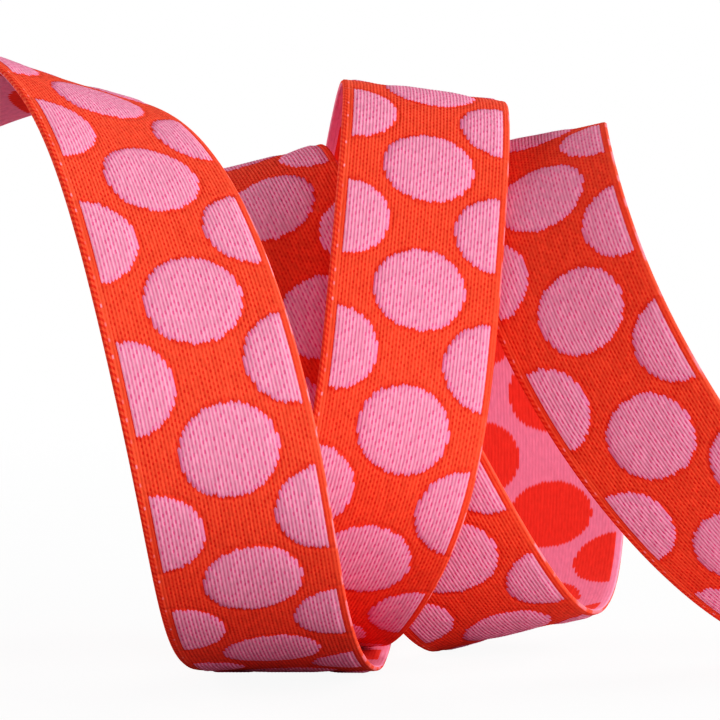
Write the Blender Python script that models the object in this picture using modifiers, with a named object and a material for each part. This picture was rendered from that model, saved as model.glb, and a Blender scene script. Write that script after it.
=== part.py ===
"""A looped length of dotted webbing: one long strip that stands on the floor in loose, open loops.

Sizes are in millimetres. Across is +X, depth is +Y (away from the front) and height is +Z.
"""
from collections import namedtuple

import bpy
import numpy as np

MM = 0.001
WIDTH = 38.0
THICKNESS = 1.4
STEP_ALONG = 6.0
CELLS_ACROSS = 6
LYING = 0.7  # a stretch whose face points up by more than this lies on the floor rather than stands

# The middle line of the webbing, a row for each section of a loop.
# Turn swings the right selvedge to the back and rise lifts it, both in degrees.
Section = namedtuple("Section", "place across depth height turn rise")
SECTIONS = [
    Section("left end, on the floor", -162, 90, 0, 62, 0),
    Section("left tail", -153, 85, 63, 50, -3),
    Section("left shoulder", -121, 60, 111, 39, -15),
    Section("first crest, back", -91, 28, 129, 34, -22),
    Section("first crest, front", -56, -24, 126, 32, -10),
    Section("first front, top", -39, -58, 99, 22, 4),
    Section("first front, middle", -27, -73, 56, 5, 11),
    Section("first front, foot", -21, -46, 19, -3, 8),
    Section("first floor, front", -16, -1, 4, -5, 1),
    Section("first floor, back", -12, 62, 0, -3, 0),
    Section("first back, foot", -9, 108, 10, -4, -5),
    Section("first back, middle", -1, 134, 47, -5, -9),
    Section("first back, top", 9, 113, 103, 2, -8),
    Section("second crest", 15, 56, 127, 4, -8),
    Section("second front, top", 12, 14, 85, 5, -10),
    Section("second front, middle", 5, 5, 40, 11, -10),
    Section("second foot, front", -9, 33, 9, 14, -8),
    Section("second foot, back", -19, 79, 9, 13, -6),
    Section("second back, low", -26, 107, 26, 8, -2),
    Section("second back, high", -28, 116.5, 65, -2, 1),
    Section("third crest, back", -29, 91, 104, 3, 5),
    Section("third crest, front", -25, 56, 109, 5, 19),
    Section("third front, top", -9, 26, 78, -1, 27),
    Section("third front, middle", 13, 20, 36, -8, 24),
    Section("third foot", 34, 53, 6, -16, 16),
    Section("third back, low", 43, 92, 16, -15, 6),
    Section("third back, middle", 45, 115, 56, -10, 3),
    Section("fourth crest, back", 40, 90, 111, -4, 2),
    Section("fourth crest, front", 38, 44, 112, -5, 20),
    Section("fourth front, top", 48, 13, 79, -19, 30),
    Section("fourth front, low", 83, 14, 28, -35, 26),
    Section("fourth foot", 105, 31, 11, -39, 21),
    Section("right tail", 126, 54, 4, -41, 11),
    Section("right tail, on the floor", 148, 78, 0, -42, 2),
    Section("right end", 170, 102, 0, -42, 0),
]

DYE = (0.90, 0.08, 0.03, 1.0)
ROUGHNESS = 0.8


def clear_scene():
    for thing in list(bpy.data.objects):
        bpy.data.objects.remove(thing)


def smooth_curve(knots, values, places):
    """The natural cubic spline through values at knots, read at places."""
    gaps = np.diff(knots)
    slopes = np.diff(values, axis=0) / gaps[:, None]
    count = len(knots)
    system = np.eye(count)
    pull = np.zeros_like(values)
    for i in range(1, count - 1):
        system[i, i - 1 : i + 2] = gaps[i - 1], 2 * (gaps[i - 1] + gaps[i]), gaps[i]
        pull[i] = 6 * (slopes[i] - slopes[i - 1])
    bends = np.linalg.solve(system, pull)
    cell = np.clip(np.searchsorted(knots, places, side="right") - 1, 0, count - 2)
    gap = gaps[cell][:, None]
    before = places[:, None] - knots[cell][:, None]
    after = gap - before
    cubic = (bends[cell] * after**3 + bends[cell + 1] * before**3) / (6 * gap)
    start = values[cell] / gap - bends[cell] * gap / 6
    end = values[cell + 1] / gap - bends[cell + 1] * gap / 6
    return cubic + start * after + end * before


def lengths_along(points):
    """How far along the line each of its points lies."""
    steps = np.linalg.norm(np.diff(points, axis=0), axis=1)
    return np.concatenate([[0.0], np.cumsum(steps)])


def unit(vectors):
    return vectors / np.linalg.norm(vectors, axis=1)[:, None]


def webbing_path():
    """Even stations along the webbing: its middle points, its directions to the right selvedge and its faces."""
    line = np.array([[s.across, s.depth, s.height] for s in SECTIONS], float)
    angles = np.radians([[s.turn, s.rise] for s in SECTIONS])
    knots = lengths_along(line)
    fine = np.linspace(0.0, knots[-1], 4000)
    run = lengths_along(smooth_curve(knots, line, fine))
    cells = round(run[-1] / STEP_ALONG)
    places = np.interp(np.linspace(0.0, run[-1], cells + 1), run, fine)
    middle = smooth_curve(knots, line, places)
    turn, rise = smooth_curve(knots, angles, places).T
    side = np.stack([np.cos(rise) * np.cos(turn), np.cos(rise) * np.sin(turn), np.sin(rise)], axis=1)
    ahead = unit(np.gradient(middle, axis=0))
    side = unit(side - np.sum(side * ahead, axis=1)[:, None] * ahead)
    return middle, side, np.cross(ahead, side)


def centred(points):
    """Slides the points so that their box stands over the origin, front to back and side to side."""
    middle = (points.max(axis=0) + points.min(axis=0)) / 2
    return points - [middle[0], middle[1], 0.0]


def bent_strip():
    """The strip's own points: rows of the webbing from selvedge to selvedge, none of them below the floor."""
    middle, side, face = webbing_path()
    reach = np.linspace(-WIDTH / 2, WIDTH / 2, CELLS_ACROSS + 1)
    rows = middle[:, None] + reach[None, :, None] * side[:, None]
    lying = np.abs(face[:, 2]) > LYING
    lowest = np.where(lying, THICKNESS / 2, 0.0)
    rows[:, :, 2] = np.maximum(rows[:, :, 2], lowest[:, None])
    return centred(rows.reshape(-1, 3)).reshape(rows.shape)


def dyed_cloth():
    cloth = bpy.data.materials.new("dyed_cloth")
    cloth.use_nodes = True
    shader = cloth.node_tree.nodes["Principled BSDF"]
    shader.inputs["Base Color"].default_value = DYE
    shader.inputs["Roughness"].default_value = ROUGHNESS
    cloth.diffuse_color = DYE
    return cloth


def make_webbing():
    rows = bent_strip()
    cells_along = len(rows) - 1
    bpy.ops.mesh.primitive_grid_add(x_subdivisions=CELLS_ACROSS, y_subdivisions=cells_along, size=1.0)
    webbing = bpy.context.object
    webbing.name = "webbing"
    for vertex in webbing.data.vertices:
        column = round((vertex.co.x + 0.5) * CELLS_ACROSS)
        row = round((vertex.co.y + 0.5) * cells_along)
        vertex.co = rows[row, column] * MM
    thicken = webbing.modifiers.new("thickness", "SOLIDIFY")
    thicken.thickness = THICKNESS * MM
    thicken.offset = 0.0
    webbing.data.materials.append(dyed_cloth())
    return webbing


def main():
    clear_scene()
    webbing = make_webbing()
    looped = bpy.data.collections.new("looped_webbing")
    bpy.context.scene.collection.children.link(looped)
    for holder in list(webbing.users_collection):
        holder.objects.unlink(webbing)
    looped.objects.link(webbing)


main()
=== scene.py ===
"""The looped length of dotted webbing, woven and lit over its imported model.

Sizes are in millimetres. Across is +X, depth is +Y (away from the front) and height is +Z.
"""
import math
from collections import namedtuple

import bpy
import numpy as np
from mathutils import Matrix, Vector

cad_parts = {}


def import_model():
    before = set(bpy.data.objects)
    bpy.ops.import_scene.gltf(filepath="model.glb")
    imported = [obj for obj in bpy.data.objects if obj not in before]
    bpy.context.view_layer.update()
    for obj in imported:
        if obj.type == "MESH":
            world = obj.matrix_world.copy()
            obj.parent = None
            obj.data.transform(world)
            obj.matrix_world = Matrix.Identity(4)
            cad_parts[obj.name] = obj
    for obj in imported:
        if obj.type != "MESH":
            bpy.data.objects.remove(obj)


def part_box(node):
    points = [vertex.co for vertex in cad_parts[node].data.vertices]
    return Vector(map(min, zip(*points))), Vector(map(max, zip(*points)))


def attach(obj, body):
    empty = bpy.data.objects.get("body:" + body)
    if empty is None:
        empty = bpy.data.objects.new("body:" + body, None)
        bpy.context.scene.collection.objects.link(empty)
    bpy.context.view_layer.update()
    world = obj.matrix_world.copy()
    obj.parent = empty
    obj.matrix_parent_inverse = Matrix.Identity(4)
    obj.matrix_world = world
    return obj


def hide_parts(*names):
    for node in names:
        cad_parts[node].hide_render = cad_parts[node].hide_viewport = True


MM = 0.001

# The strip, as it is cut.
WIDTH = 38.0
THICKNESS = 1.4
LYING = 0.7  # a stretch whose face points up by more than this lies on the floor rather than stands
ABOVE_FLOOR = 0.03

# The middle line of the webbing, a row for each section of a loop.
# Turn swings the right selvedge to the back and rise lifts it, both in degrees.
Section = namedtuple("Section", "place across depth height turn rise")
SECTIONS = [
    Section("left end, on the floor", -162, 90, 0, 62, 0),
    Section("left tail", -153, 85, 63, 50, -3),
    Section("left shoulder", -121, 60, 111, 39, -15),
    Section("first crest, back", -91, 28, 129, 34, -22),
    Section("first crest, front", -56, -24, 126, 32, -10),
    Section("first front, top", -39, -58, 99, 22, 4),
    Section("first front, middle", -27, -73, 56, 5, 11),
    Section("first front, foot", -21, -46, 19, -3, 8),
    Section("first floor, front", -16, -1, 4, -5, 1),
    Section("first floor, back", -12, 62, 0, -3, 0),
    Section("first back, foot", -9, 108, 10, -4, -5),
    Section("first back, middle", -1, 134, 47, -5, -9),
    Section("first back, top", 9, 113, 103, 2, -8),
    Section("second crest", 15, 56, 127, 4, -8),
    Section("second front, top", 12, 14, 85, 5, -10),
    Section("second front, middle", 5, 5, 40, 11, -10),
    Section("second foot, front", -9, 33, 9, 14, -8),
    Section("second foot, back", -19, 79, 9, 13, -6),
    Section("second back, low", -26, 107, 26, 8, -2),
    Section("second back, high", -28, 116.5, 65, -2, 1),
    Section("third crest, back", -29, 91, 104, 3, 5),
    Section("third crest, front", -25, 56, 109, 5, 19),
    Section("third front, top", -9, 26, 78, -1, 27),
    Section("third front, middle", 13, 20, 36, -8, 24),
    Section("third foot", 34, 53, 6, -16, 16),
    Section("third back, low", 43, 92, 16, -15, 6),
    Section("third back, middle", 45, 115, 56, -10, 3),
    Section("fourth crest, back", 40, 90, 111, -4, 2),
    Section("fourth crest, front", 38, 44, 112, -5, 20),
    Section("fourth front, top", 48, 13, 79, -19, 30),
    Section("fourth front, low", 83, 14, 28, -35, 26),
    Section("fourth foot", 105, 31, 11, -39, 21),
    Section("right tail", 126, 54, 4, -41, 11),
    Section("right tail, on the floor", 148, 78, 0, -42, 2),
    Section("right end", 170, 102, 0, -42, 0),
]

FINE_POINTS = 4000  # how many points the middle line is measured at
ROWS = 580  # and how many rows of the strip follow it

# The strip's section: cords over the face, two points down each edge, and a plain back.
# Heights are above the middle of the cloth.
CORDS = 50
CORD_PITCH = WIDTH / CORDS
CORD_RELIEF = 0.055
POINTS_PER_CORD = 3
POINTS_BEHIND = 16
FACE_HEIGHT = 0.66
BACK_HEIGHT = 0.56
EDGE_ROUND = 0.9  # the face slopes down over this width at each edge
EDGE_DROP = 0.8  # and has lost this share of its squared height at the very edge
EDGE_TOP = 0.2
EDGE_BOTTOM = -0.25
BACK_INSET = 0.35  # how far in from each edge the back starts

# The dots, in the weave's own lengths: along the strip from its left end and across it from its middle.
# Whole dots run down the middle, and dots that the selvedges cut lie half a step further on.
DOT_STEP = 31.65
FIRST_DOT = 239.7
FIRST_CUT_DOT = FIRST_DOT + DOT_STEP / 2
DOT_HALF_ALONG = 9.7
DOT_HALF_ACROSS = 10.1
DOT_ROUNDNESS = 2.1
MIDDLE_DOT = 1.0
LEFT_DOT = -16.9
RIGHT_DOT = 17.9
LEFT_MARGIN = 2.4
RIGHT_MARGIN = 1.6
OUTERMOST_CORD = 0.995  # a cord further out than this share of a dot's half width is not in the dot
PICK = 0.3  # one step in a dot's outline
RAGGED = 0.7  # how much further one cord of a dot may run than the next
BACK_RAGGED = 0.21
TIP = 0.4  # how much further a float's middle reaches than its sides
DOT_SOFT = 0.10
BACK_SOFT = 0.45

# How far the dots' long floats stand out. Nearness is 0 at a dot's middle and 1 on its outline.
PUFF = 0.40
PUFF_FOOT = 1.12  # the nearness where the rise starts
PUFF_SLOPE = 0.4  # and how much nearer it is whole
PUFF_FADE = 1.2  # the rise dies away over this width at each selvedge
SWELL = 0.12  # the steep part of the rise, at a dot's outline
SWELL_EDGE = (0.88, 1.02)
SUNK = -0.12  # the tight ring of ground round a dot
SUNK_RING = 1.05
SUNK_REACH = 0.09

# The weave. Cords run along the strip, and each groove between two of them opens once in every float.
# Length is a float's, reach how far a groove's painted shade goes to each side, in cords, steady how dark it
# is between two openings, and twill the share of a float that the openings slide by from groove to groove.
Floats = namedtuple("Floats", "length reach steady twill")
GROUND_FLOATS = Floats(1.3, 0.42, 0.36, 0.5)
DOT_FLOATS = Floats(1.9, 0.42, 0.55, 0.37)
BACK_FLOATS = Floats(5.2, 0.45, 0.5, 0.4)
SLIP = 0.3  # how far a whole groove may slide, as a share of a float
OPENING_WAVE = (-0.3, 0.7)  # an opening starts and is whole at these heights of a wave from -1 to 1
OPENING_LEAST = 0.5  # how dark the faintest opening is
OPENING_SPREAD = 0.7  # how much darker than that an opening may be
GROOVE_CORE = 0.2  # the share of a groove's reach that has its whole shade
CORD_CROWN = 0.02
OPENING_DEPTH = -0.045
BACK_OPENING = 0.12  # the share of an opening's depth that the smooth reverse has

# The fine wool of the yarn, stretched along the strip, and the tints that keep the cloth from looking flat.
WOOL_STRETCH = 0.3
WOOL_SCALE = 1.4
WOOL_DETAIL = 3.0
WOOL_RELIEF = 0.06
WOOL_TINT = (0.93, 1.04)
# each float's own random tint, its lighter floats partly a painted satin highlight
FLOAT_TINT_AND_HIGHLIGHT = (0.94, 1.04)
TINT_RANGE = (0.3, 0.7)  # a tint is at its darkest below the first of these values and at its lightest above
RIM = 0.12  # painted shade darkens the cloth over this share of a dot's half size, on both sides of its outline
RIM_SHADE = 0.45
ROUGHNESS = 0.75
SPECULAR = 0.18
SHEEN = 0.02
SHEEN_ROUGHNESS = 0.4

ORANGE = (0.96, 0.110, 0.060, 1.0)
# painted shade: the orange darkened for the grooves, the ring round each dot and the loops of the left edge
ORANGE_PAINTED_SHADE = (0.80, 0.038, 0.026, 1.0)
PINK = (0.93, 0.375, 0.515, 1.0)
# painted shade: the pink darkened for the grooves between the dots' floats
PINK_PAINTED_SHADE = (0.83, 0.12, 0.27, 1.0)
# painted shade: the pink darkened where the floats end at a dot's outline
PINK_END_PAINTED_SHADE = (0.80, 0.17, 0.36, 1.0)
BACK_PINK = (0.90, 0.30, 0.44, 1.0)
BACK_ORANGE = (0.88, 0.085, 0.062, 1.0)

# The left edge, in from the selvedge: a ropy band of slanting loops with painted shade, a plain band, and
# specks between them.
PLAIN_FADE = (0.3, 0.1)  # the plain band ends between these distances outside the margin
LOOP_BAND = (1.0, 1.3)
LOOP_STRENGTH = 0.75
LOOP_PITCH = 1.4
LOOP_SLANT = -0.9
LOOP_WAVE = (-0.7, 0.6)
SPECK_LINE = 1.25
SPECK_HALF_WIDTH = (0.10, 0.28)
SPECK_PITCH = 4.2
SPECK_HALF_LENGTH = (0.05, 0.13)  # as a share of the pitch
SPECK_FIRST = 0.25
SPECK_SPREAD = 0.5
SPECK_STRENGTH = 0.6

# The right edge: plain floats, and a thread along its outside that comes and goes.
RIGHT_FADE = 0.2
RIGHT_PLAIN = 0.6
THREAD_WIDTH = (0.22, 0.42)
THREAD_WANDER = 0.16
THREAD_SHOWS = (0.50, 0.57)
THREAD_STRENGTH = 0.4

# A random draw that depends on one number alone takes its second number from here.
SLIP_DRAW = 3.0
SPECK_PLACE_DRAW = 5.0
SPECK_STRENGTH_DRAW = 9.0
THREAD_DRAW = 2.0

WEAVE_MAP = "Strip"
BAKE_MAP = "OFBake"
LANES = 4
LANE_GAP = 3.0

# The room, in metres and watts. The camera sees a white floor in a white room. The webbing gets hardly any
# light from the room, and the floor gives back a third of what falls on its left side and most on its right.
FLOOR_SIDES = 96
FLOOR_RADIUS = 1.0
FLOOR_WHITE = (0.90, 0.90, 0.90, 1.0)
FLOOR_GLOW = 0.93
FLOOR_BOUNCE_LEFT = (0.36, 0.36, 0.36, 1.0)
FLOOR_BOUNCE_RIGHT = (0.85, 0.85, 0.85, 1.0)
FLOOR_TURN = (0.00, 0.09)  # the left's bounce turns into the right's between these places across
FLOOR_FADE = (0.30, 0.80)
ROOM_WHITE = (1.0, 1.0, 1.0, 1.0)
ROOM_FILL = 0.02
SOFTBOX_SIDE = 1.0
SoftBox = namedtuple("SoftBox", "name across depth height power")
SOFTBOXES = [
    SoftBox("right", 1.10, -0.72, 0.30, 19.5),
    SoftBox("front", 0.0, -1.35, 0.45, 6.5),
    SoftBox("left", -1.05, -0.70, 0.45, 2.6),
    SoftBox("back right", 1.20, 0.60, 0.60, 18.0),
    SoftBox("back left", -1.20, 0.60, 0.60, 16.0),
]
LIGHT_AIM = (0.0, 0.0, 0.06)

# How the view deepens its darker tones: the tone that is given and the tone that is shown.
Tone = namedtuple("Tone", "given shown")
DEEP_SHADE = [Tone(0.04, 0.012), Tone(0.12, 0.085), Tone(0.25, 0.225), Tone(0.45, 0.45)]
ALL_COLOURS = 3  # the last of the view's curves, which goes for red, green and blue together

LENS = 231.65
SENSOR = 36.0
CAMERA_AIM = (-6.56, -30.17, 70.27)
CAMERA_TILT = 3.14
CAMERA_DISTANCE = 997.5
CLIP_NEAR = 50.0
CLIP_FAR = 40000.0


def smooth_curve(knots, values, places):
    """The natural cubic spline through values at knots, read at places."""
    gaps = np.diff(knots)
    slopes = np.diff(values, axis=0) / gaps[:, None]
    count = len(knots)
    system = np.eye(count)
    pull = np.zeros_like(values)
    for i in range(1, count - 1):
        system[i, i - 1 : i + 2] = gaps[i - 1], 2 * (gaps[i - 1] + gaps[i]), gaps[i]
        pull[i] = 6 * (slopes[i] - slopes[i - 1])
    bends = np.linalg.solve(system, pull)
    cell = np.clip(np.searchsorted(knots, places, side="right") - 1, 0, count - 2)
    gap = gaps[cell][:, None]
    before = places[:, None] - knots[cell][:, None]
    after = gap - before
    cubic = (bends[cell] * after**3 + bends[cell + 1] * before**3) / (6 * gap)
    start = values[cell] / gap - bends[cell] * gap / 6
    end = values[cell + 1] / gap - bends[cell + 1] * gap / 6
    return cubic + start * after + end * before


def lengths_along(points):
    """How far along the line each of its points lies."""
    steps = np.linalg.norm(np.diff(points, axis=0), axis=1)
    return np.concatenate([[0.0], np.cumsum(steps)])


def unit(vectors):
    return vectors / np.linalg.norm(vectors, axis=1)[:, None]


def webbing_path():
    """Even stations: lengths along, middle points, directions to the right selvedge and out of the face."""
    line = np.array([[s.across, s.depth, s.height] for s in SECTIONS], float)
    angles = np.radians([[s.turn, s.rise] for s in SECTIONS])
    knots = lengths_along(line)
    fine = np.linspace(0.0, knots[-1], FINE_POINTS)
    run = lengths_along(smooth_curve(knots, line, fine))
    lengths = np.linspace(0.0, run[-1], ROWS)
    places = np.interp(lengths, run, fine)
    middle = smooth_curve(knots, line, places)
    turn, rise = smooth_curve(knots, angles, places).T
    side = np.stack([np.cos(rise) * np.cos(turn), np.cos(rise) * np.sin(turn), np.sin(rise)], axis=1)
    ahead = unit(np.gradient(middle, axis=0))
    side = unit(side - np.sum(side * ahead, axis=1)[:, None] * ahead)
    return lengths, middle, side, np.cross(ahead, side)


def cross_section():
    """The cut strip's outline: from the left selvedge over the cords to the right one, and back behind."""
    in_cords = (np.arange(1, CORDS * POINTS_PER_CORD - 1) + 0.5) / POINTS_PER_CORD
    over = in_cords * CORD_PITCH - WIDTH / 2
    dip = 0.5 + 0.5 * np.cos(2 * math.pi * in_cords)
    inset = np.clip((WIDTH / 2 - np.abs(over)) / EDGE_ROUND, 0.0, 1.0)
    crown = FACE_HEIGHT * np.sqrt(1 - EDGE_DROP * (1 - inset) ** 2) - CORD_RELIEF * dip * inset
    behind = np.linspace(WIDTH / 2 - BACK_INSET, BACK_INSET - WIDTH / 2, POINTS_BEHIND)
    edge = np.array([WIDTH / 2, WIDTH / 2])
    across = np.concatenate([over, edge, behind, -edge])
    back = np.full(POINTS_BEHIND, -BACK_HEIGHT)
    above = np.concatenate([crown, [EDGE_TOP, EDGE_BOTTOM], back, [EDGE_BOTTOM, EDGE_TOP]])
    return across, above


def puff(lengths, across):
    """How far the dots stand out, a row for each length along and a column for each place across."""
    raised = np.zeros((len(lengths), len(across)))
    for middle, first in ((MIDDLE_DOT, FIRST_DOT), (LEFT_DOT, FIRST_CUT_DOT), (RIGHT_DOT, FIRST_CUT_DOT)):
        steps = (lengths - first) / DOT_STEP
        away = (steps - np.round(steps)) * DOT_STEP / DOT_HALF_ALONG
        off = (across - middle) / DOT_HALF_ACROSS
        nearness = np.hypot(away[:, None], off[None, :])
        inside = np.clip((PUFF_FOOT - nearness) / PUFF_SLOPE, 0.0, 1.0)
        raised = np.maximum(raised, inside * inside * (3 - 2 * inside))
    margin = WIDTH / 2 - LEFT_MARGIN
    kept = np.clip((margin + PUFF_FADE / 2 - np.abs(across)) / PUFF_FADE, 0.0, 1.0)
    return PUFF * raised * kept


def bent_strip(node):
    """Lengths along, and rows of points round the strip's section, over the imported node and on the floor."""
    lengths, middle, side, face = webbing_path()
    across, above = cross_section()
    rows = middle[:, None] + across[None, :, None] * side[:, None]
    lowest = np.where(np.abs(face[:, 2]) > LYING, THICKNESS / 2, 0.0)
    rows[:, :, 2] = np.maximum(rows[:, :, 2], lowest[:, None])
    above = above + np.where(above > EDGE_TOP, puff(lengths, across), 0.0)
    rows += above[:, :, None] * face[:, None]
    rows[:, :, 2] = np.maximum(rows[:, :, 2], ABOVE_FLOOR)
    low, high = (np.array(corner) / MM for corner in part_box(node))
    points = rows.reshape(-1, 3)
    shift = (low + high - points.min(axis=0) - points.max(axis=0)) / 2
    return lengths, rows + [shift[0], shift[1], 0.0]


def corners_of(count, around):
    """The row, and the place round the section, of the four corners of each face between two rows."""
    row = np.arange(count - 1)[:, None, None] + np.array([0, 1, 1, 0])
    place = np.arange(around)[None, :, None] + np.array([0, 0, 1, 1])
    return [corners.reshape(-1, 4) for corners in np.broadcast_arrays(row, place)]


def strip_mesh(name, rows):
    """The rows of points as one closed mesh, smooth along its sides and flat at its two cut ends."""
    count, around = rows.shape[:2]
    row, place = corners_of(count, around)
    sides = row * around + place % around
    ring = np.arange(around)
    ends = [ring.tolist(), (ring[::-1] + (count - 1) * around).tolist()]
    mesh = bpy.data.meshes.new(name)
    mesh.from_pydata((rows.reshape(-1, 3) * MM).tolist(), [], sides.tolist() + ends)
    smooth = np.ones(len(mesh.polygons), bool)
    smooth[-2:] = False
    mesh.polygons.foreach_set("use_smooth", smooth)
    return mesh


def add_map(mesh, name, spots):
    layer = mesh.uv_layers.new(name=name)
    layer.data.foreach_set("uv", spots.ravel())


def map_weave(mesh, lengths):
    """The weave's own map: how far along and across the flat strip each corner lies, in millimetres."""
    across = cross_section()[0]
    row, place = (corners.ravel() for corners in corners_of(len(lengths), len(across)))
    sides = np.stack([lengths[row], across[place % len(across)]], axis=1)
    start = np.stack([np.zeros(len(across)), across], axis=1)
    end = start + [lengths[-1], 0.0]
    add_map(mesh, WEAVE_MAP, np.concatenate([sides, start, end[::-1]]))


def map_baking(mesh, lengths):
    """The map to bake on: the strip's skin in lanes side by side, with its two cut ends beyond them."""
    across, above = cross_section()
    around = len(across)
    row, place = (corners.ravel() for corners in corners_of(len(lengths), around))
    outline = np.stack([across, above], axis=1)
    arc = lengths_along(np.append(outline, outline[:1], axis=0))
    cells = len(lengths) - 1
    lane = np.repeat(np.arange(cells) * LANES // cells, 4 * around)
    lane_length = lengths[-1] / LANES
    lane_width = arc[-1] + LANE_GAP
    sides = np.stack([lane * lane_width + arc[place], lengths[row] - lane * lane_length], axis=1)
    start = np.stack([across + WIDTH / 2, lane_length + 3 * LANE_GAP + above], axis=1)
    end = start + [WIDTH + LANE_GAP, 0.0]
    spots = np.concatenate([sides, start, end[::-1]]) + LANE_GAP
    add_map(mesh, BAKE_MAP, spots / (spots.max() + LANE_GAP))


def mark_reverse(mesh):
    """Gives the faces behind the strip, from one edge's low point to the other's, the reverse's cloth."""
    around = len(cross_section()[0])
    ring = np.arange(around)
    first = CORDS * POINTS_PER_CORD - 1
    behind = np.zeros(len(mesh.polygons), int)
    behind[:-2] = np.tile((ring >= first) & (ring < around - 2), ROWS - 1)
    mesh.polygons.foreach_set("material_index", behind)


def weave_sheet(name, node):
    """The whole webbing as one closed sheet, and how long the strip is."""
    lengths, rows = bent_strip(node)
    mesh = strip_mesh(name, rows)
    map_weave(mesh, lengths)
    map_baking(mesh, lengths)
    mark_reverse(mesh)
    mesh.update()
    sheet = bpy.data.objects.new(name, mesh)
    bpy.context.scene.collection.objects.link(sheet)
    return sheet, float(lengths[-1])


class Recipe:
    """A material's node tree, with short ways to add the sums that a weave needs."""

    def __init__(self, name):
        self.material = bpy.data.materials.new(name)
        self.material.use_nodes = True
        self.tree = self.material.node_tree
        self.shader = self.tree.nodes["Principled BSDF"]

    def give(self, socket, value):
        if isinstance(value, bpy.types.NodeSocket):
            self.tree.links.new(value, socket)
        else:
            socket.default_value = value

    def sum(self, operation, *values):
        node = self.tree.nodes.new("ShaderNodeMath")
        node.operation = operation
        for socket, value in zip(node.inputs, values):
            self.give(socket, value)
        return node.outputs[0]

    def off(self, value, middle):
        """How far value lies from middle, on either side."""
        return self.sum("ABSOLUTE", self.sum("SUBTRACT", value, middle))

    def ramp(self, value, low, high, at_low=0.0, at_high=1.0):
        """Eases from at_low to at_high while value goes from low to high."""
        node = self.tree.nodes.new("ShaderNodeMapRange")
        node.interpolation_type = "SMOOTHSTEP"
        for socket, given in zip(node.inputs, (value, low, high, at_low, at_high)):
            self.give(socket, given)
        return node.outputs[0]

    def blend(self, share, first, second, way="MIX"):
        node = self.tree.nodes.new("ShaderNodeMix")
        node.data_type = "RGBA"
        node.blend_type = way
        self.give(node.inputs["Factor"], share)
        self.give(node.inputs["A"], first)
        self.give(node.inputs["B"], second)
        return node.outputs["Result"]

    def cover(self, share, first, second):
        """Two finishes mixed, with share of the second."""
        node = self.tree.nodes.new("ShaderNodeMixShader")
        for socket, value in zip(node.inputs, (share, first, second)):
            self.give(socket, value)
        return node.outputs[0]

    def tint(self, colour, value, darkest, lightest):
        """The colour, multiplied by darkest where value is low up to lightest where it is high."""
        shade = self.ramp(value, *TINT_RANGE, darkest, lightest)
        grey = self.tree.nodes.new("ShaderNodeCombineColor")
        for socket in grey.inputs:
            self.tree.links.new(shade, socket)
        return self.blend(1.0, colour, grey.outputs[0], "MULTIPLY")

    def pair(self, first, second):
        node = self.tree.nodes.new("ShaderNodeCombineXYZ")
        self.give(node.inputs[0], first)
        self.give(node.inputs[1], second)
        return node.outputs[0]

    def chance(self, first, second):
        """A number from 0 to 1 for each pair of whole numbers, always the same one."""
        node = self.tree.nodes.new("ShaderNodeTexWhiteNoise")
        node.noise_dimensions = "2D"
        self.tree.links.new(self.pair(first, second), node.inputs["Vector"])
        return node.outputs["Value"]

    def cloud(self, first, second, scale, detail):
        node = self.tree.nodes.new("ShaderNodeTexNoise")
        node.inputs["Scale"].default_value = scale
        node.inputs["Detail"].default_value = detail
        self.tree.links.new(self.pair(first, second), node.inputs["Vector"])
        return node.outputs[0]


# Where a point lies in the weave: along and across the flat strip, the cord it is on and that cord's own
# place across, the nearest groove, and how far off that groove is, in cords.
Spot = namedtuple("Spot", "along across cord cord_across groove off_groove")


def spot_in_weave(recipe):
    flat = recipe.tree.nodes.new("ShaderNodeUVMap")
    flat.uv_map = WEAVE_MAP
    parts = recipe.tree.nodes.new("ShaderNodeSeparateXYZ")
    recipe.tree.links.new(flat.outputs[0], parts.inputs[0])
    along, across = parts.outputs[0], parts.outputs[1]
    in_cords = recipe.sum("DIVIDE", recipe.sum("ADD", across, WIDTH / 2), CORD_PITCH)
    cord = recipe.sum("FLOOR", in_cords)
    cord_across = recipe.sum("MULTIPLY_ADD", cord, CORD_PITCH, (CORD_PITCH - WIDTH) / 2)
    groove = recipe.sum("ROUND", in_cords)
    return Spot(along, across, cord, cord_across, groove, recipe.off(in_cords, groove))


def selvedge_dot(recipe, spot):
    """How far across the cut dots at the nearer selvedge have their middles."""
    right = recipe.sum("GREATER_THAN", spot.across, 0.0)
    return recipe.sum("MULTIPLY_ADD", right, RIGHT_DOT - LEFT_DOT, LEFT_DOT)


def dot_reach(recipe, spot, middle, end, ragged):
    """How far a dot's cord runs from the dot's middle line: whole picks, and a little uneven."""
    share = recipe.sum("DIVIDE", recipe.off(spot.cord_across, middle), DOT_HALF_ACROSS)
    share = recipe.sum("MINIMUM", share, 1.0)
    fall = recipe.sum("POWER", share, DOT_ROUNDNESS)
    full = recipe.sum("POWER", recipe.sum("SUBTRACT", 1.0, fall), 1 / DOT_ROUNDNESS)
    picks = recipe.sum("ROUND", recipe.sum("MULTIPLY", full, DOT_HALF_ALONG / PICK))
    uneven = recipe.sum("SUBTRACT", recipe.chance(spot.cord, end), 0.5)
    reach = recipe.sum("MULTIPLY_ADD", uneven, ragged, recipe.sum("MULTIPLY", picks, PICK))
    inside = recipe.sum("LESS_THAN", share, OUTERMOST_CORD)
    return recipe.sum("MULTIPLY_ADD", inside, recipe.sum("ADD", reach, 1.0), -1.0)


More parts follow.
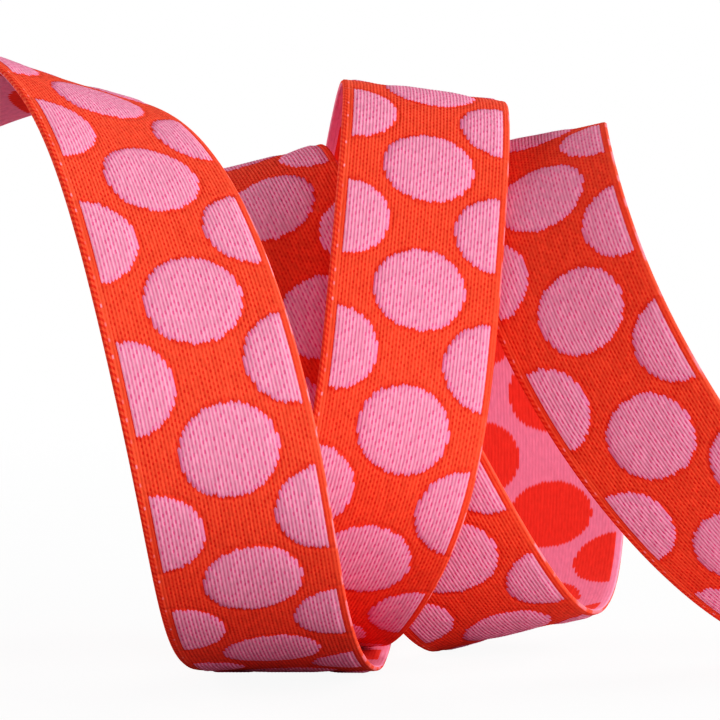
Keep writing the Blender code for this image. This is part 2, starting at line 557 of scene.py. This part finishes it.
def dot_row(recipe, spot, middle, first, ragged, soft):
    """1 where a cord is in a dot of this row, else 0. Each float ends in a rounded tip."""
    steps = recipe.sum("DIVIDE", recipe.sum("SUBTRACT", spot.along, first), DOT_STEP)
    number = recipe.sum("ROUND", steps)
    away = recipe.sum("MULTIPLY", recipe.sum("SUBTRACT", steps, number), DOT_STEP)
    end = recipe.sum("MULTIPLY_ADD", number, 2.0, recipe.sum("GREATER_THAN", away, 0.0))
    reach = dot_reach(recipe, spot, middle, end, ragged)
    tip = recipe.ramp(spot.off_groove, 0.0, 0.5, TIP, 0.0)
    beyond = recipe.sum("SUBTRACT", recipe.sum("ADD", recipe.sum("ABSOLUTE", away), tip), reach)
    return recipe.ramp(beyond, -soft, soft, 1.0, 0.0)


def dots(recipe, spot, ragged, soft):
    """1 in the dots: a row of whole ones down the middle and a row of cut ones at each selvedge."""
    whole = dot_row(recipe, spot, MIDDLE_DOT, FIRST_DOT, ragged, soft)
    cut = dot_row(recipe, spot, selvedge_dot(recipe, spot), FIRST_CUT_DOT, ragged, soft)
    after_left = recipe.sum("GREATER_THAN", spot.across, LEFT_MARGIN - WIDTH / 2)
    before_right = recipe.sum("LESS_THAN", spot.across, WIDTH / 2 - RIGHT_MARGIN)
    cut = recipe.sum("MULTIPLY", cut, recipe.sum("MULTIPLY", after_left, before_right))
    return recipe.sum("MAXIMUM", whole, cut)


def square_nearness(recipe, spot, middle, first):
    """The square of how near the closest dot of this row is."""
    steps = recipe.sum("DIVIDE", recipe.sum("SUBTRACT", spot.along, first), DOT_STEP)
    away = recipe.sum("SUBTRACT", steps, recipe.sum("ROUND", steps))
    lengthwise = recipe.sum("MULTIPLY", away, DOT_STEP / DOT_HALF_ALONG)
    sideways = recipe.sum("DIVIDE", recipe.sum("SUBTRACT", spot.across, middle), DOT_HALF_ACROSS)
    return recipe.sum("MULTIPLY_ADD", sideways, sideways, recipe.sum("MULTIPLY", lengthwise, lengthwise))


def dot_nearness(recipe, spot):
    """0 at the nearest dot's middle, and 1 on its outline."""
    whole = square_nearness(recipe, spot, MIDDLE_DOT, FIRST_DOT)
    cut = square_nearness(recipe, spot, selvedge_dot(recipe, spot), FIRST_CUT_DOT)
    return recipe.sum("SQRT", recipe.sum("MINIMUM", whole, cut))


def groove_shade(recipe, spot, floats):
    """A groove's painted shade and depth: most in the openings between floats, and in some more than in
    others.
    """
    stagger = recipe.sum("MULTIPLY", spot.groove, floats.twill)
    slip = recipe.sum("MULTIPLY", recipe.chance(spot.groove, SLIP_DRAW), SLIP)
    passed = recipe.sum("DIVIDE", spot.along, floats.length)
    turns = recipe.sum("ADD", passed, recipe.sum("ADD", stagger, slip))
    wave = recipe.sum("SINE", recipe.sum("MULTIPLY", turns, 2 * math.pi))
    number = recipe.sum("ROUND", recipe.sum("SUBTRACT", turns, 0.25))
    deepest = recipe.sum("MULTIPLY_ADD", recipe.chance(spot.groove, number), OPENING_SPREAD, OPENING_LEAST)
    opening = recipe.ramp(wave, *OPENING_WAVE, floats.steady, deepest)
    line = recipe.ramp(spot.off_groove, floats.reach * GROOVE_CORE, floats.reach, 1.0, 0.0)
    return recipe.sum("MULTIPLY", line, opening)


def dot_rise(recipe, nearness):
    """How far the dots' floats swell above the ground, and the tight ring round them sinks into it."""
    swell = recipe.ramp(nearness, *SWELL_EDGE, SWELL, 0.0)
    sunk = recipe.ramp(recipe.off(nearness, SUNK_RING), 0.0, SUNK_REACH, SUNK, 0.0)
    return recipe.sum("ADD", swell, sunk)


def face_cloth():
    """The dotted face: pink floats in the dots, orange floats round them, and its two edges."""
    recipe = Recipe("webbing_face")
    spot = spot_in_weave(recipe)
    dot = dots(recipe, spot, RAGGED, DOT_SOFT)
    ground_groove_shade = groove_shade(recipe, spot, GROUND_FLOATS)
    dot_groove_shade = groove_shade(recipe, spot, DOT_FLOATS)
    nearness = dot_nearness(recipe, spot)
    # painted shade in the grooves between the orange floats
    ground = recipe.blend(ground_groove_shade, ORANGE, ORANGE_PAINTED_SHADE)
    # painted shade: a darkened ring of ground round each dot's outline
    outside = recipe.ramp(nearness, 1.0, 1.0 + RIM, RIM_SHADE, 0.0)
    ground = recipe.blend(outside, ground, ORANGE_PAINTED_SHADE)
    # painted shade in the grooves between the pink floats
    dotted = recipe.blend(dot_groove_shade, PINK, PINK_PAINTED_SHADE)
    # painted shade: the floats darken towards their ends at the dot's outline
    inside = recipe.ramp(nearness, 1.0 - RIM, 1.0, 0.0, RIM_SHADE)
    dotted = recipe.blend(inside, dotted, PINK_END_PAINTED_SHADE)
    colour = recipe.blend(dot, ground, dotted)
    # each float's random tint, with the lighter floats partly a painted satin highlight
    passed = recipe.sum("DIVIDE", spot.along, DOT_FLOATS.length)
    number = recipe.sum("FLOOR", recipe.sum("MULTIPLY_ADD", spot.cord, DOT_FLOATS.twill, passed))
    colour = recipe.tint(colour, recipe.chance(spot.cord, number), *FLOAT_TINT_AND_HIGHLIGHT)
    colour = left_edge(recipe, colour, spot)
    colour = right_edge(recipe, colour, spot)
    opening = recipe.sum("MULTIPLY_ADD", dot, recipe.sum("SUBTRACT", dot_groove_shade, ground_groove_shade), ground_groove_shade)
    return finish_cloth(recipe, spot, colour, opening, dot_rise(recipe, nearness))


def left_edge(recipe, colour, spot):
    """The left edge: a plain orange band, a ropy one outside it darkened by painted shade, and faint specks
    between them.
    """
    in_edge = recipe.sum("ADD", spot.across, WIDTH / 2)
    band_start, band_end = (LEFT_MARGIN - fade for fade in PLAIN_FADE)
    plain = recipe.ramp(in_edge, band_start, band_end, 1.0, 0.0)
    colour = recipe.blend(plain, colour, ORANGE)
    slanted = recipe.sum("MULTIPLY_ADD", in_edge, LOOP_SLANT, spot.along)
    loops = recipe.sum("SINE", recipe.sum("MULTIPLY", slanted, 2 * math.pi / LOOP_PITCH))
    # knitted slanting loops, with painted shade between them
    painted_rope_shade = recipe.blend(recipe.ramp(loops, *LOOP_WAVE), ORANGE_PAINTED_SHADE, ORANGE)
    colour = recipe.blend(recipe.ramp(in_edge, *LOOP_BAND, LOOP_STRENGTH, 0.0), colour, painted_rope_shade)
    turns = recipe.sum("DIVIDE", spot.along, SPECK_PITCH)
    number = recipe.sum("FLOOR", turns)
    middle = recipe.sum("MULTIPLY_ADD", recipe.chance(number, SPECK_PLACE_DRAW), SPECK_SPREAD, SPECK_FIRST)
    off = recipe.off(recipe.sum("FRACT", turns), middle)
    strength = recipe.sum("MULTIPLY", recipe.chance(number, SPECK_STRENGTH_DRAW), SPECK_STRENGTH)
    speck = recipe.sum("MULTIPLY", recipe.ramp(off, *SPECK_HALF_LENGTH, 1.0, 0.0), strength)
    in_line = recipe.ramp(recipe.off(in_edge, SPECK_LINE), *SPECK_HALF_WIDTH, 1.0, 0.0)
    return recipe.blend(recipe.sum("MULTIPLY", speck, in_line), colour, PINK)


def right_edge(recipe, colour, spot):
    """The right edge: long orange floats, and a pink thread that shows in lengths along its outside."""
    to_edge = recipe.sum("SUBTRACT", WIDTH / 2, spot.across)
    plain = recipe.ramp(to_edge, RIGHT_MARGIN - RIGHT_FADE, RIGHT_MARGIN, RIGHT_PLAIN, 0.0)
    colour = recipe.blend(plain, colour, ORANGE)
    wander = recipe.cloud(spot.along, THREAD_DRAW, THREAD_WANDER, 1.0)
    shows = recipe.ramp(wander, *THREAD_SHOWS, 0.0, THREAD_STRENGTH)
    thread = recipe.ramp(to_edge, *THREAD_WIDTH, 1.0, 0.0)
    return recipe.blend(recipe.sum("MULTIPLY", thread, shows), colour, PINK)


def back_cloth():
    """The reverse: the same dots the other way round, orange in pink, and smoother."""
    recipe = Recipe("webbing_back")
    spot = spot_in_weave(recipe)
    colour = recipe.blend(dots(recipe, spot, BACK_RAGGED, BACK_SOFT), BACK_PINK, BACK_ORANGE)
    opening = recipe.sum("MULTIPLY", groove_shade(recipe, spot, BACK_FLOATS), BACK_OPENING)
    return finish_cloth(recipe, spot, colour, opening, 0.0)


def finish_cloth(recipe, spot, colour, opening, rise):
    """Gives a cloth its colour and dry finish, and the relief of its dots, cords, openings and wool."""
    drawn_out = recipe.sum("MULTIPLY", spot.along, WOOL_STRETCH)
    wool = recipe.cloud(drawn_out, spot.across, WOOL_SCALE, WOOL_DETAIL)
    recipe.give(recipe.shader.inputs["Base Color"], recipe.tint(colour, wool, *WOOL_TINT))
    recipe.shader.inputs["Roughness"].default_value = ROUGHNESS
    recipe.shader.inputs["Specular IOR Level"].default_value = SPECULAR
    recipe.shader.inputs["Sheen Weight"].default_value = SHEEN
    recipe.shader.inputs["Sheen Roughness"].default_value = SHEEN_ROUGHNESS
    crown = recipe.ramp(spot.off_groove, 0.0, 0.5, 0.0, CORD_CROWN)
    raised = recipe.sum("ADD", crown, rise)
    floats = recipe.sum("MULTIPLY_ADD", opening, OPENING_DEPTH, raised)
    height = recipe.sum("MULTIPLY_ADD", wool, WOOL_RELIEF, floats)
    bump = recipe.tree.nodes.new("ShaderNodeBump")
    bump.inputs["Strength"].default_value = 1.0
    bump.inputs["Distance"].default_value = MM
    recipe.tree.links.new(height, bump.inputs["Height"])
    recipe.tree.links.new(bump.outputs[0], recipe.shader.inputs["Normal"])
    return recipe.material


def floor_paint():
    """White to the camera, duller to the light that it gives back, and gone a short way off."""
    recipe = Recipe("pale_floor")
    nodes, links = recipe.tree.nodes, recipe.tree.links
    nodes.remove(recipe.shader)
    place = nodes.new("ShaderNodeTexCoord").outputs["Object"]
    across = nodes.new("ShaderNodeSeparateXYZ")
    links.new(place, across.inputs[0])
    to_right = recipe.ramp(across.outputs[0], *FLOOR_TURN)
    bounce = nodes.new("ShaderNodeBsdfDiffuse")
    recipe.give(bounce.inputs["Color"], recipe.blend(to_right, FLOOR_BOUNCE_LEFT, FLOOR_BOUNCE_RIGHT))
    paint = nodes.new("ShaderNodeBsdfDiffuse")
    paint.inputs["Color"].default_value = FLOOR_WHITE
    glow = nodes.new("ShaderNodeEmission")
    white = recipe.cover(FLOOR_GLOW, paint.outputs[0], glow.outputs[0])
    by_camera = nodes.new("ShaderNodeLightPath").outputs["Is Camera Ray"]
    floor = recipe.cover(by_camera, bounce.outputs[0], white)
    far = nodes.new("ShaderNodeVectorMath")
    far.operation = "LENGTH"
    links.new(place, far.inputs[0])
    faded = recipe.ramp(far.outputs["Value"], *FLOOR_FADE)
    gone = nodes.new("ShaderNodeBsdfTransparent")
    whole = recipe.cover(faded, floor, gone.outputs[0])
    links.new(whole, nodes["Material Output"].inputs["Surface"])
    return recipe.material


def make_webbing():
    webbing, strip_length = weave_sheet("webbing_cloth", "webbing")
    webbing.data.materials.append(face_cloth())
    webbing.data.materials.append(back_cloth())
    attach(webbing, "root")
    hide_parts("webbing")


def make_floor():
    bpy.ops.object.select_all(action="DESELECT")
    bpy.ops.mesh.primitive_circle_add(vertices=FLOOR_SIDES, radius=FLOOR_RADIUS, fill_type="NGON")
    floor = bpy.context.object
    floor.name = "floor"
    floor.data.materials.append(floor_paint())


def add_softbox(box):
    lamp = bpy.data.lights.new(box.name, "AREA")
    lamp.shape = "SQUARE"
    lamp.size = SOFTBOX_SIDE
    lamp.energy = box.power
    holder = bpy.data.objects.new(box.name, lamp)
    bpy.context.scene.collection.objects.link(holder)
    holder.location = (box.across, box.depth, box.height)
    holder.rotation_euler = (Vector(LIGHT_AIM) - holder.location).to_track_quat("-Z", "Y").to_euler()


def paint_room():
    """White to the camera, and hardly a light to anything else."""
    room = bpy.data.worlds.new("white_room")
    room.use_nodes = True
    nodes, links = room.node_tree.nodes, room.node_tree.links
    glow = nodes["Background"]
    glow.inputs["Color"].default_value = ROOM_WHITE
    by_camera = nodes.new("ShaderNodeLightPath").outputs["Is Camera Ray"]
    strength = nodes.new("ShaderNodeMapRange")
    strength.inputs["To Min"].default_value = ROOM_FILL
    links.new(by_camera, strength.inputs["Value"])
    links.new(strength.outputs[0], glow.inputs["Strength"])
    bpy.context.scene.world = room


def deepen_shade():
    view = bpy.context.scene.view_settings
    view.view_transform = "Standard"
    view.look = "None"
    view.use_curve_mapping = True
    for tone in DEEP_SHADE:
        view.curve_mapping.curves[ALL_COLOURS].points.new(tone.given, tone.shown)
    view.curve_mapping.update()


def place_camera():
    camera = bpy.data.cameras.new("camera")
    camera.lens = LENS
    camera.sensor_width = SENSOR
    camera.clip_start = CLIP_NEAR * MM
    camera.clip_end = CLIP_FAR * MM
    holder = bpy.data.objects.new("camera", camera)
    bpy.context.scene.collection.objects.link(holder)
    tilt = math.radians(CAMERA_TILT)
    back = Vector((0.0, -math.cos(tilt), math.sin(tilt)))
    holder.location = Vector(CAMERA_AIM) * MM + back * CAMERA_DISTANCE * MM
    holder.rotation_euler = (-back).to_track_quat("-Z", "Y").to_euler()
    bpy.context.scene.camera = holder


def main():
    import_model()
    bpy.ops.object.select_all(action="DESELECT")
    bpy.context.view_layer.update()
    make_floor()
    make_webbing()
    for box in SOFTBOXES:
        add_softbox(box)
    paint_room()
    deepen_shade()
    place_camera()


main()
